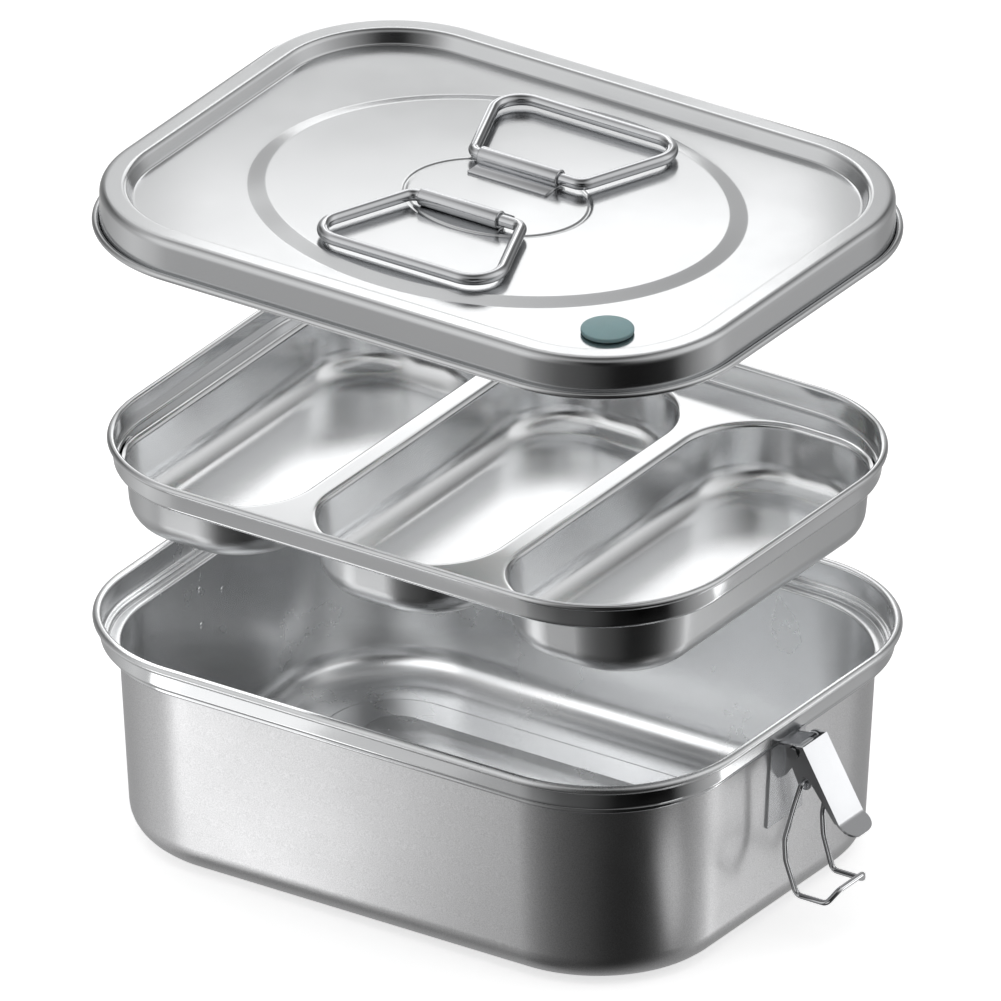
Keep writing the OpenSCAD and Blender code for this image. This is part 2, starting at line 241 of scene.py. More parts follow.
def make_piece(name, grids, material, body, replaced=(), merge=1e-6):
    """One object from grids of points in millimetres. Each grid is (points, options for grid_faces,
    material index). Doubles are merged and the faces are turned outward."""
    verts, faces, kinds = [], [], []
    count = 0
    for points, options, kind in grids:
        rows, columns = points.shape[:2]
        quads = grid_faces(rows, columns, **options) + count
        verts.append(points.reshape(-1, 3) / MM)
        faces.append(quads)
        kinds.append(np.broadcast_to(kind, (len(quads) // max(1, np.size(kind)), np.size(kind))).T.reshape(-1)
                     if np.ndim(kind) == 0 else np.repeat(kind, len(quads) // len(kind)))
        count += rows * columns
    verts, faces = np.vstack(verts), np.vstack(faces)
    kinds = np.concatenate(kinds)
    mesh = bpy.data.meshes.new(name)
    mesh.vertices.add(len(verts))
    mesh.vertices.foreach_set("co", verts.astype(np.float32).ravel())
    mesh.loops.add(faces.size)
    mesh.loops.foreach_set("vertex_index", faces.astype(np.int32).ravel())
    mesh.polygons.add(len(faces))
    mesh.polygons.foreach_set("loop_start", np.arange(0, faces.size, 4, dtype=np.int32))
    mesh.polygons.foreach_set("material_index", kinds.astype(np.int32))
    mesh.update(calc_edges=True)
    work = bmesh.new()
    work.from_mesh(mesh)
    bmesh.ops.remove_doubles(work, verts=work.verts, dist=merge)
    open_edges = [e for e in work.edges if e.is_boundary]
    if open_edges:
        bmesh.ops.holes_fill(work, edges=open_edges, sides=0)
    bmesh.ops.recalc_face_normals(work, faces=work.faces)
    work.to_mesh(mesh)
    work.free()
    mesh.polygons.foreach_set("use_smooth", np.ones(len(mesh.polygons), bool))
    mesh.update()
    piece = bpy.data.objects.new(name, mesh)
    bpy.context.scene.collection.objects.link(piece)
    for one in material if isinstance(material, (list, tuple)) else [material]:
        mesh.materials.append(one)
    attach(piece, body)
    if replaced:
        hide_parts(*replaced)
    return piece


def mirrored(points, side):
    """The points for the right side, or their mirror image for the left."""
    return points * np.array([1.0 if side == "right" else -1.0, 1.0, 1.0])


# ---- finishes ----


def hex_linear(code):
    """An sRGB hex colour as linear RGBA."""
    channels = [int(code[i:i + 2], 16) / 255 for i in (1, 3, 5)]
    linear = [c / 12.92 if c <= 0.04045 else ((c + 0.055) / 1.055) ** 2.4 for c in channels]
    return (*linear, 1.0)


def add_node(tree, kind, settings=(), **links):
    """Adds a node, sets its properties or inputs by name, and links the named inputs."""
    node = tree.nodes.new(kind)
    for name, value in dict(settings).items():
        if isinstance(name, str) and hasattr(node, name):
            setattr(node, name, value)
        else:
            node.inputs[name].default_value = value
    for name, socket in links.items():
        tree.links.new(socket, node.inputs[name.replace("_", " ")])
    return node


def metal(name, colour, roughness, spread, grain_mm, grain_bump, sway_bump=0.0, speckle=None):
    """A bare steel finish. Fine grain and a slow sway of the sheet go into the bump, smears left by
    polishing spread the roughness, and a speckle colour mixes in with the grain of a blasted face."""
    material = bpy.data.materials.new(name)
    material.use_nodes = True
    tree = material.node_tree
    shader = tree.nodes["Principled BSDF"]
    shader.inputs["Base Color"].default_value = hex_linear(colour)
    shader.inputs["Metallic"].default_value = 1.0
    where = add_node(tree, "ShaderNodeTexCoord").outputs["Object"]
    smear = add_node(tree, "ShaderNodeTexNoise",
                     {"Scale": MM / 30, "Detail": 5.0, "Roughness": 0.6}, Vector=where)
    rough = add_node(tree, "ShaderNodeMapRange",
                     {"From Min": 0.3, "From Max": 0.7,
                      "To Min": roughness - spread, "To Max": roughness + spread})
    tree.links.new(smear.outputs["Fac"], rough.inputs["Value"])
    tree.links.new(rough.outputs["Result"], shader.inputs["Roughness"])
    grain = add_node(tree, "ShaderNodeTexNoise", {"Scale": MM / grain_mm, "Detail": 2.0}, Vector=where)
    if speckle:
        share = add_node(tree, "ShaderNodeMapRange", {"From Min": 0.3, "From Max": 0.7},
                         Value=grain.outputs["Fac"])
        mixed = add_node(tree, "ShaderNodeMix", {"data_type": "RGBA"})
        tree.links.new(share.outputs["Result"], mixed.inputs[0])
        mixed.inputs[6].default_value = hex_linear(speckle)
        mixed.inputs[7].default_value = hex_linear(colour)
        tree.links.new(mixed.outputs[2], shader.inputs["Base Color"])
    bump = add_node(tree, "ShaderNodeBump", {"Strength": grain_bump, "Distance": 0.0002})
    tree.links.new(grain.outputs["Fac"], bump.inputs["Height"])
    if sway_bump:
        sway = add_node(tree, "ShaderNodeTexNoise", {"Scale": MM / 45, "Detail": 1.0}, Vector=where)
        slow = add_node(tree, "ShaderNodeBump", {"Strength": sway_bump, "Distance": 0.002})
        tree.links.new(sway.outputs["Fac"], slow.inputs["Height"])
        tree.links.new(slow.outputs["Normal"], bump.inputs["Normal"])
    tree.links.new(bump.outputs["Normal"], shader.inputs["Normal"])
    return material


def silicone(name, colour, shade, roughness):
    """Moulded silicone: a matt skin with faint mottling and dust-fine texture, slightly translucent."""
    material = bpy.data.materials.new(name)
    material.use_nodes = True
    tree = material.node_tree
    shader = tree.nodes["Principled BSDF"]
    shader.inputs["Subsurface Weight"].default_value = 0.15
    shader.inputs["Subsurface Scale"].default_value = 0.002
    shader.inputs["IOR"].default_value = 1.41
    where = add_node(tree, "ShaderNodeTexCoord").outputs["Object"]
    mottle = add_node(tree, "ShaderNodeTexNoise", {"Scale": MM / 4, "Detail": 4.0}, Vector=where)
    ramp = add_node(tree, "ShaderNodeMix", {"data_type": "RGBA"})
    ramp.inputs[6].default_value = hex_linear(shade)
    ramp.inputs[7].default_value = hex_linear(colour)
    tree.links.new(mottle.outputs["Fac"], ramp.inputs[0])
    tree.links.new(ramp.outputs[2], shader.inputs["Base Color"])
    rough = add_node(tree, "ShaderNodeMapRange", {"To Min": roughness - 0.08, "To Max": roughness + 0.08})
    tree.links.new(mottle.outputs["Fac"], rough.inputs["Value"])
    tree.links.new(rough.outputs["Result"], shader.inputs["Roughness"])
    skin = add_node(tree, "ShaderNodeTexNoise", {"Scale": MM / 0.35, "Detail": 3.0}, Vector=where)
    bump = add_node(tree, "ShaderNodeBump", {"Strength": 0.12, "Distance": 0.0001})
    tree.links.new(skin.outputs["Fac"], bump.inputs["Height"])
    tree.links.new(bump.outputs["Normal"], shader.inputs["Normal"])
    return material


FINISHES = {}


def finish_named(name):
    """The finish of that name, made the first time that it is asked for."""
    makers = {
        # 304 stainless, blasted with fine glass bead: an even satin with a fine sparkle
        "blasted_stainless": lambda: metal("blasted_stainless", "#D9D9DA", 0.33, 0.02, 0.35, 0.15,
                                           speckle="#BFBFC0"),
        # 304 stainless as drawn and buffed: bright, with soft edges to what it mirrors
        "buffed_stainless": lambda: metal("buffed_stainless", "#D2D3D4", 0.13, 0.03, 0.8, 0.02, 0.06),
        # inside of the tray's pans: buffed less, so that far walls show in the floor only as a shade
        "pan_stainless": lambda: metal("pan_stainless", "#E8E9EA", 0.22, 0.03, 0.8, 0.03, 0.05),
        # outside of the tray's pans, left as drawn: a soft satin
        "satin_stainless": lambda: metal("satin_stainless", "#C6C7C8", 0.3, 0.03, 0.6, 0.1, 0.04),
        # inside of the box: drawn and lightly brushed
        "drawn_stainless": lambda: metal("drawn_stainless", "#DADBDC", 0.26, 0.03, 0.8, 0.04, 0.04),
        # the lid's sheet: cold rolled bright, with faint rolling haze
        "rolled_stainless": lambda: metal("rolled_stainless", "#D0D1D2", 0.19, 0.03, 0.9, 0.03, 0.04),
        # hard drawn bright wire, with fine die lines along it
        "bright_wire": lambda: metal("bright_wire", "#CFD0D2", 0.08, 0.02, 0.4, 0.02),
        # pressed and barrel-polished latch strip
        "pressed_strip": lambda: metal("pressed_strip", "#D0D1D3", 0.2, 0.04, 0.5, 0.04, 0.04),
        "teal_silicone": lambda: silicone("teal_silicone", "#8DABAE", "#7F9DA0", 0.5),
        "white_silicone": lambda: silicone("white_silicone", "#E6E8E4", "#DADCD8", 0.45),
    }
    if name not in FINISHES:
        FINISHES[name] = makers[name]()
    return FINISHES[name]


# ---- sizes that a user would change ----


class LunchBoxSheet(bpy.types.PropertyGroup):
    """Sheet and bends of the three drawn shells."""
    sheet: bpy.props.FloatProperty(name="Sheet", description="Thickness of the box's and lid's steel, in mm",
                                   default=0.6, min=0.4, max=0.8)
    tray_sheet: bpy.props.FloatProperty(name="Tray sheet", description="Thickness of the tray's steel, in mm",
                                        default=0.5, min=0.4, max=0.7)
    lip_corner: bpy.props.FloatProperty(name="Lip corner", default=48.0, min=40, max=55,
                                        description="Corner radius of the box's lip, in mm")
    draft: bpy.props.FloatProperty(name="Draft", description="Slope of the box's walls",
                                   default=math.radians(3.2), subtype="ANGLE")
    oval_h: bpy.props.FloatProperty(name="Oval", description="Height of the lid's raised oval, in mm",
                                    default=1.2)


class LunchBoxWires(bpy.types.PropertyGroup):
    """Diameters of the handle and latch wires."""
    handle: bpy.props.FloatProperty(name="Handle wire", description="Diameter in mm", default=3.8)
    bail: bpy.props.FloatProperty(name="Latch wire", description="Diameter in mm", default=1.8)


# ---- pieces ----


class LUNCHBOX_OT_box(bpy.types.Operator):
    """Deep box with its rolled lip, band, two inner shelves and embossed floor"""
    bl_idname = "lunchbox.box"
    bl_label = "Box"

    def execute(self, context):
        sizes = context.scene.lunch_box_sheet
        t = sizes.sheet
        top = BOX_HIGH[2]
        corner = sizes.lip_corner
        cx, cy = BOX_HIGH[0] - corner, BOX_HIGH[1] - corner
        bead = 1.45
        band = corner - BAND_IN - t / 2
        shelf, seat = top - SHELF_DOWN - t / 2, top - SEAT_DOWN - t / 2
        lean = math.tan(sizes.draft)
        wall_top = band - STEP_IN
        wall_foot = wall_top - (seat - t) * lean
        floor = t / 2
        path = np.vstack([
            bent([(5.3, floor + 1.5, 0.8), (6.3, floor + 0.5, 0.8), (18.1, floor + 0.5, 0.8),
                  (19.1, floor, 0.8), (wall_foot, floor, 10.0), (wall_top, seat, 0.9),
                  (band - 2.1, seat, 0.5), (band - 2.1, shelf, 0.5), (band, shelf, 1.3),
                  (band, top - bead, 0)]),
            curl((band + bead - t / 2, top - bead), bead - t / 2, 180, -150)[1:],
        ])
        inner, outer = offset(path, t / 2), offset(path, -t / 2)
        loop = np.vstack([outer, inner[::-1]])
        shift = np.interp(loop[:, 0], [wall_top, band - 2.1], [STEP_IN, 0])
        columns = round_rect_columns(cx, cy)
        skin = carried(loop, columns, cx, cy, shift)
        under = shrink_to_centre(skin[0], 3)
        inside = shrink_to_centre(skin[-1], 3)[::-1]
        rows = np.concatenate([under, skin, inside])
        # the blasted finish ends where the wall meets the band on the outside
        z, x = rows[:-1, 0, 2], np.arange(len(rows) - 1)
        blasted = (x < len(under) + len(outer)) & (z < seat - t / 2)
        band_rows = (x < len(under) + len(outer)) & ~blasted
        kind = np.where(blasted, 0, np.where(band_rows, 1, 2))
        make_piece("box_drawn_shell", [(rows, {}, kind)],
                   [finish_named(n) for n in ("blasted_stainless", "buffed_stainless", "drawn_stainless")],
                   "box", ["box_shell"])
        return {"FINISHED"}


class LUNCHBOX_OT_weld_dimples(bpy.types.Operator):
    """Small round dimples that spot welding the latch plates leaves inside the short walls"""
    bl_idname = "lunchbox.weld_dimples"
    bl_label = "Weld dimples"

    def execute(self, context):
        sizes = context.scene.lunch_box_sheet
        seat = BOX_HIGH[2] - SEAT_DOWN
        wall_top = BOX_HIGH[0] - BAND_IN - STEP_IN - sizes.sheet
        lean = math.tan(sizes.draft)
        u = np.linspace(0, 1, 7)[:, None]
        a = np.linspace(0, 2 * math.pi, 20, endpoint=False)[None]
        grids = []
        for side in ("left", "right"):
            for y, z in ((-6.0, 55.0), (6.0, 50.0), (-6.0, 43.0)):
                wall = wall_top - (seat - z) * lean
                # dome: radius u * 1.3, height 0.3 * (1 - u squared), growing into the box
                dome = np.stack([wall + 0.05 - 0.35 * (1 - u ** 2) + 0 * a,
                                 y + 1.3 * u * np.cos(a), z + 1.3 * u * np.sin(a)], -1)
                grids.append((mirrored(dome, side), {}, 0))
        make_piece("box_weld_dimples", grids, finish_named("drawn_stainless"), "box")
        return {"FINISHED"}


def pan_cell(columns, rim, path, centre_x, steps):
    """Rows of one compartment: the middle of its floor, its section, and out over the deck to the
    cell's edge."""
    skeleton, _ = columns
    cx, cy = np.abs(skeleton).max(0)
    rows = carried(path, columns, cx, cy)
    middle = shrink_to_centre(rows[0], steps)
    edge = np.concatenate([rim, np.full((len(rim), 1), path[-1, 1])], 1)
    rows = np.concatenate([middle, rows, edge[None]])
    return rows + np.array([centre_x, 0.0, 0.0])


def outline_hit(start, way, cx, cy, radius):
    """Where rays from start along way meet a rectangle with round corners: the flat sides first,
    then, past the ends of the flats, the corner arc."""
    half = np.array([cx + radius, cy + radius])
    with np.errstate(divide="ignore"):
        flats = (half * np.sign(way) - start) / np.where(way == 0, 1, way)
        reach = np.where(np.abs(way) > 1e-9, flats, np.inf)
    far = reach.min(1, keepdims=True)
    hit = start + way * far
    centre = np.array([cx, cy]) * np.sign(hit)
    past = (np.abs(hit) > np.array([cx, cy])).all(1)
    d = start - centre
    b = (d * way).sum(1)
    c = (d * d).sum(1) - radius ** 2
    on_arc = start + way * (-b + np.sqrt(np.maximum(b * b - c, 0)))[:, None]
    return np.where(past[:, None], on_arc, hit)


class LUNCHBOX_OT_tray(bpy.types.Operator):
    """Tray with three round-ended compartments, drawn from one sheet"""
    bl_idname = "lunchbox.tray"
    bl_label = "Tray"

    def execute(self, context):
        t = context.scene.lunch_box_sheet.tray_sheet
        top = TRAY_HIGH[2]
        corner, bead = 46.0, 1.2
        cx, cy = TRAY_HIGH[0] - corner, TRAY_HIGH[1] - corner
        wall = corner - 2 * bead + t / 2
        deck = top - 9.2 + t / 2
        floor = TRAY_LOW[2] + t / 2
        pan_x, pan_y, pitch = 5.25, 45.0, 70.0
        pan_r = 26.0 - t / 2
        foot = pan_r - (deck - floor) * math.tan(math.radians(5))
        deck_edge = wall - 2.4
        section = bent([(foot - 10.5, floor, 0), (foot, floor, 9.0), (pan_r, deck, 1.7),
                        (pan_r + 2.2, deck, 0)])
        rim = np.vstack([
            bent([(deck_edge, deck, 0), (wall, deck, 1.4), (wall, top - bead, 0)]),
            curl((wall + bead - t / 2, top - bead), bead - t / 2, 180, -150)[1:],
        ])
        columns = round_rect_columns(pan_x, pan_y, 28, 24)
        skeleton, normal = columns
        grids, outer_edge = [], []
        for i in (-1, 0, 1):
            start = skeleton + normal * pan_r + np.array([i * pitch, 0.0])
            hit = outline_hit(start, normal, cx, cy, deck_edge)
            # a ray that would cross into the next cell stops at the line between them
            lows, highs = {-1: (-1e3, -pitch / 2), 0: (-pitch / 2, pitch / 2), 1: (pitch / 2, 1e3)}[i]
            over = np.where(hit[:, 0] > highs, highs, np.where(hit[:, 0] < lows, lows, np.nan))
            share = (over - start[:, 0]) / np.where(normal[:, 0] == 0, 1, normal[:, 0])
            hit = np.where(np.isnan(over)[:, None], hit, start + normal * np.nan_to_num(share)[:, None])
            on_rim = np.isnan(over) | (np.abs(np.abs(hit[:, 1]) - cy - deck_edge) < 1e-6)
            outer_edge.append(hit[on_rim])
            for side in (t / 2, -t / 2):
                cell = pan_cell(columns, hit - np.array([i * pitch, 0.0]), offset(section, side),
                                i * pitch, 3)
                in_pan = cell[:-1, 0, 2] < deck - 1.5
                grids.append((cell, {}, np.where(in_pan, 2, 0) if side > 0 else 1))
        # the corners where two cells meet the rim
        outer_edge.append(np.array([[sx * pitch / 2, sy * (cy + deck_edge)]
                                    for sx in (-1, 1) for sy in (-1, 1)]))
        edge = np.vstack(outer_edge)
        edge = edge[np.argsort(np.arctan2(edge[:, 1] / (cy + deck_edge), edge[:, 0] / (cx + deck_edge)))]
        skeleton = np.clip(edge, [-cx, -cy], [cx, cy])
        away = edge - skeleton
        normal = away / np.linalg.norm(away, axis=1, keepdims=True)
        loop = np.vstack([offset(rim, -t / 2), offset(rim, t / 2)[::-1]])
        ring = skeleton[None] + loop[:, 0][:, None, None] * normal[None]
        z = np.broadcast_to(loop[:, 1][:, None, None], ring.shape[:2] + (1,))
        grids.append((np.concatenate([ring, z], 2), {}, 0))
        make_piece("tray_drawn_shell", grids,
                   [finish_named(n) for n in ("buffed_stainless", "satin_stainless", "pan_stainless")],
                   "tray", ["tray_shell"], merge=2e-6)
        return {"FINISHED"}


class LUNCHBOX_OT_lid(bpy.types.Operator):
    """Lid with a rolled flange, hollow border, recessed panel and raised oval"""
    bl_idname = "lunchbox.lid"
    bl_label = "Lid"

    def execute(self, context):
        sizes = context.scene.lunch_box_sheet
        t = sizes.sheet
        base, top = LID_LOW[2], LID_HIGH[2]
        corner = sizes.lip_corner + 0.2
        cx, cy = LID_HIGH[0] - corner, LID_HIGH[1] - corner
        bead = 1.1
        skirt = corner - BAND_IN - t / 2
        panel = top - 4.5 - t / 2
        border_in = skirt + t / 2 - 8
        crest = top - t / 2
        path = np.vstack([
            bent([(border_in - 3.6, panel, 0), (border_in - 1.9, panel, 1.2), (border_in + 0.2, crest, 1.6),
                  (skirt, crest, 2.2), (skirt, base + t / 2, 0.7), (corner - bead, base + t / 2, 0)]),
            curl((corner - bead, base + bead), bead - t / 2, -90, 170)[1:],
        ])
        columns = round_rect_columns(cx, cy)
        rows = []
        for side in (t / 2, -t / 2):
            skin = carried(offset(path, side), columns, cx, cy)
            rows.append(np.concatenate([self.panel_rows(skin[0], sizes.oval_h), skin]))
        under = rows[1]
        grid = np.concatenate([under, rows[0][::-1]])
        make_piece("lid_drawn_shell", [(grid, {}, 0)], finish_named("rolled_stainless"), "lid", ["lid_shell"])
        return {"FINISHED"}

    @staticmethod
    def panel_rows(edge, height):
        """Rows from the centre of the panel to its edge. Inside the oval they are ellipses, and
        outside it they blend evenly into the edge's outline: (1 - w) * ellipse + w * edge."""
        a, b, slope = 80.0, 67.0, 5.4
        theta = np.arctan2(edge[:, 1] / b, edge[:, 0] / a)
        unit = np.stack([np.cos(theta), np.sin(theta)], 1)
        z = edge[0, 2]
        rows = []

        def ellipse(ax, by, lift):
            rows.append(np.concatenate([unit * [ax, by], np.full((len(unit), 1), z + lift)], 1))

        groove_a, groove_b, groove_w = 30.0, 24.0, 1.1
        for k in np.linspace(0, 1, 5, endpoint=False):
            ellipse((groove_a - 1.6) * k, (groove_b - 1.6) * k, height)
        # small oval: a shallow round-bottomed groove, 0.35 deep
        for w in np.linspace(-1.4, 1.4, 11):
            lift = -0.35 * max(0.0, 1 - abs(w) / groove_w) ** 2 * (1 + 2 * abs(w) / groove_w)
            ellipse(groove_a + w, groove_b + w, height + lift)
        for k in np.linspace(0, 1, 6)[1:-1]:
            ellipse(groove_a + 1.4 + k * (a - slope - groove_a - 2),
                    groove_b + 1.4 + k * (b - slope - groove_b - 2), height)
        # slope of the raised oval: an even fall, 1 - w, with a short parabola at each end
        soft = 0.07
        for w in [-0.2, *np.linspace(-soft, soft, 6), 0.3, 0.5, 0.7, *np.linspace(1 - soft, 1 + soft, 6)]:
            low = min(max(w + soft, 0.0), 2 * soft) ** 2 / (4 * soft)
            high = min(max(1 + soft - w, 0.0), 2 * soft) ** 2 / (4 * soft)
            fall = 1 - low if w < 0.5 else high
            fall = 1 - w if soft < w < 1 - soft else fall
            ellipse(a - slope + slope * w, b - slope + slope * w, height * fall)
        outer = np.array([unit[:, 0] * (a + 1), unit[:, 1] * (b + 1)]).T
        for w in np.linspace(0, 1, 9)[1:-1]:
            flat = outer * (1 - w) + edge[:, :2] * w
            rows.append(np.concatenate([flat, np.full((len(flat), 1), z)], 1))
        return np.array(rows)


class LUNCHBOX_OT_seal(bpy.types.Operator):
    """Silicone seal in the lid's border: a flat head, a web and a round foot"""
    bl_idname = "lunchbox.seal"
    bl_label = "Seal"

    def execute(self, context):
        sizes = context.scene.lunch_box_sheet
        corner = sizes.lip_corner + 0.2
        cx, cy = LID_HIGH[0] - corner, LID_HIGH[1] - corner
        base, top = LID_LOW[2], LID_HIGH[2] - sizes.sheet
        head = corner - 2.3 - sizes.sheet
        foot = sizes.lip_corner - 4.7
        section = bent([(foot - 1.2, base - 0.2, 0), (foot - 1.15, base - 1.05, 1.0), (foot + 1.2, base - 1.05, 1.0),
                        (foot + 1.2, top - 3, 0.5), (head, top - 3, 0.5), (head, top, 0.6),
                        (head - 5.8, top, 0.6), (head - 5.8, top - 3, 0.6), (foot - 0.4, top - 3, 0.6),
                        (foot - 0.4, base + 1.2, 0.6), (foot - 1.2, base + 0.5, 0.3), (foot - 1.2, base - 0.2, 0)])
        rows = carried(section[:-1], round_rect_columns(cx, cy), cx, cy)
        make_piece("lid_seal_ring", [(rows, {"wrap_rows": True}, 0)], finish_named("white_silicone"), "lid",
                   ["lid_gasket"])
        return {"FINISHED"}


class LUNCHBOX_OT_plug(bpy.types.Operator):
    """Silicone vent plug: a low dome with a rolled edge, a stem and a retaining rib"""
    bl_idname = "lunchbox.plug"
    bl_label = "Vent plug"

    def execute(self, context):
        low, high = PLUG_LOW, PLUG_HIGH
        centre = (low + high) / 2
        radius = (high[0] - low[0]) / 2
        top, foot = high[2], low[2]
        base = top - 2.4
        dome = np.stack([np.linspace(0.01, radius - 1.0, 10),
                         top - 1.0 * (np.linspace(0.01, 1, 10)) ** 2 * 0.75], 1)
        edge = bent([(radius - 1.0, top - 0.75, 0), (radius, top - 1.0, 0.5), (radius, base, 0.45), (5.0, base, 0.3),
                     (4.6, base + 0.35, 0.2), (3.0, base + 0.35, 0.2), (3.0, foot + 1.4, 0.3), (4.6, foot + 1.1, 0.4),
                     (3.9, foot, 0.5), (0.01, foot, 0)], support=0.1)
        section = np.vstack([dome, edge[1:]])
        a = np.linspace(0, 2 * math.pi, 72, endpoint=False)[None]
        r, z = section[:, :1], section[:, 1:]
        rows = np.stack([centre[0] + r * np.cos(a), centre[1] + r * np.sin(a), z + 0 * a], -1)
        make_piece("vent_plug_moulding", [(rows, {}, 0)], finish_named("teal_silicone"), "plug", ["vent_plug"],
                   merge=1e-5)
        return {"FINISHED"}


class LUNCHBOX_OT_handles(bpy.types.Operator):
    """Two folding wire handles and the rolled barrels that hold them"""
    bl_idname = "lunchbox.handles"
    bl_label = "Handles"

    def execute(self, context):
        radius = context.scene.lunch_box_wires.handle / 2
        half, grip, reach = 20.0, 35.5, 39.0
        for name, hinge, way, node in (("front", HINGE_FRONT, -1, "handle_wire_front"),
                                       ("rear", HINGE_REAR, 1, "handle_wire_rear")):
            corners = [(0, 0, 0, 0), (half, 0, 0, 4), (grip, reach, 0, 9), (-grip, reach, 0, 9),
                       (-half, 0, 0, 4), (-0.01, 0, 0, 0)]
            line = bent_line(corners, 6) * np.array([1, way, 1]) + hinge
            make_piece(f"handle_{name}_wire", [(tube(line, radius, 24, closed=True), {"wrap_rows": True}, 0)],
                       finish_named("bright_wire"), f"{name}_handle", [node], merge=1e-5)
            self.barrel(name, hinge, way)
        return {"FINISHED"}

    @staticmethod
    def barrel(name, hinge, way):
        """A strip rolled nearly once round the wire and carried on as a flat foot: its section is an
        arc, then a straight tangent to it, thickened on both sides."""
        low, high = cad_mm(f"handle_barrel_{name}")
        outer = high[2] - hinge[2]
        t = 0.85
        middle = outer - t / 2
        foot = bent([(7.8, -outer + t / 2, 0), (0.3, -outer + t / 2, 0)])
        roll = curl((0, 0), middle, -90, -408, 44)
        path = np.vstack([foot, roll])
        section = np.vstack([offset(path, t / 2), offset(path, -t / 2)[::-1]])
        x = np.array([low[0], low[0] + 0.12, low[0] + 0.3, high[0] - 0.3, high[0] - 0.12, high[0]])
        # the ends are broken by a small round
        pull = np.array([0.12, 0.03, 0, 0, 0.03, 0.12])
        centre = np.vstack([path, path[::-1]])
        inward = centre - section
        inward /= np.linalg.norm(inward, axis=1, keepdims=True)
        shaped = section[None] + inward[None] * pull[:, None, None]
        rows = np.stack([np.broadcast_to(x[:, None], shaped.shape[:2]), hinge[1] - way * shaped[..., 0],
                         hinge[2] + shaped[..., 1]], -1)
        make_piece(f"handle_{name}_barrel", [(rows, {}, 0)], finish_named("pressed_strip"), "lid",
                   [f"handle_barrel_{name}"])


class LUNCHBOX_OT_bails(bpy.types.Operator):
    """Bent wire bails that hook over the lid"""
    bl_idname = "lunchbox.bails"
    bl_label = "Latch wires"

    def execute(self, context):
        radius = context.scene.lunch_box_wires.bail / 2
        half = [(0, 5.2, 0, 0), (0, 8.1, 0, 1.3), (-2, 9.3, -8, 6), (-4.6, 10.4, -19, 8),
                (-4.2, 10.4, -26, 8), (-0.5, 10, -37.1, 2.2), (10.4, 10, -37.1, 2.2),
                (12.6, 6.5, -33.4, 2.0)]
        whole = half + [(x, -y, z, r) for x, y, z, r in reversed(half)]
        line = bent_line(whole, 8)
        for side in ("right", "left"):
            rows = mirrored(tube(line + BAIL_PIN, radius, 18), side)
            make_piece(f"latch_{side}_wire", [(rows, {}, 0)], finish_named("bright_wire"), f"{side}_bail",
                       [f"latch_bail_{side}"])
        return {"FINISHED"}


class LUNCHBOX_OT_latch_metal(bpy.types.Operator):
    """Finishes of the latch plates, levers, rivets and eyelets, which keep the frame's own shapes"""
    bl_idname = "lunchbox.latch_metal"
    bl_label = "Latch metal"

    def execute(self, context):
        looks = {"latch_base": "pressed_strip", "latch_lever": "pressed_strip", "latch_pin": "bright_wire",
                 "bail_bushes": "bright_wire"}
        for name, node in frame["nodes"].items():
            for start, look in looks.items():
                if name.startswith(start):
                    node.data.materials.clear()
                    node.data.materials.append(finish_named(look))
        return {"FINISHED"}


# ---- stage ----

# Brightness of the world round the object: for each elevation in degrees, values at even steps of
# direction, from -X through -Y to +X and +Y. They come from a least-squares fit for the main view.
STUDIO = [
    (-90, [0.16]),
    (-60, [0.39, 0.0, 0.06, 0.0, 0.07, 0.31, 0.36, 0.39]),
    (-30, [0.58, 0.78, 0.61, 0.22, 0.1, 0.08, 0.01, 0.0, 0.0, 0.33, 0.6, 0.37, 0.36, 0.47, 0.49, 0.42]),
    (-5, [0.3, 0.53, 0.82, 0.22, 0.01, 0.04, 0.15, 0.5, 0.49, 0.3, 0.4, 0.26]),
    (25, [0.14, 0.42, 0.93, 0.92, 0.27, 0.0, 0.01, 0.32, 0.61, 0.92, 1.0, 0.39, 0.09, 0.62, 0.61, 0.1]),
    (50, [0.56, 0.72, 0.44, 0.35, 0.67, 0.87, 0.22, 0.93]),
    (80, [0.09]),
]
STUDIO_STRENGTH = 1.07
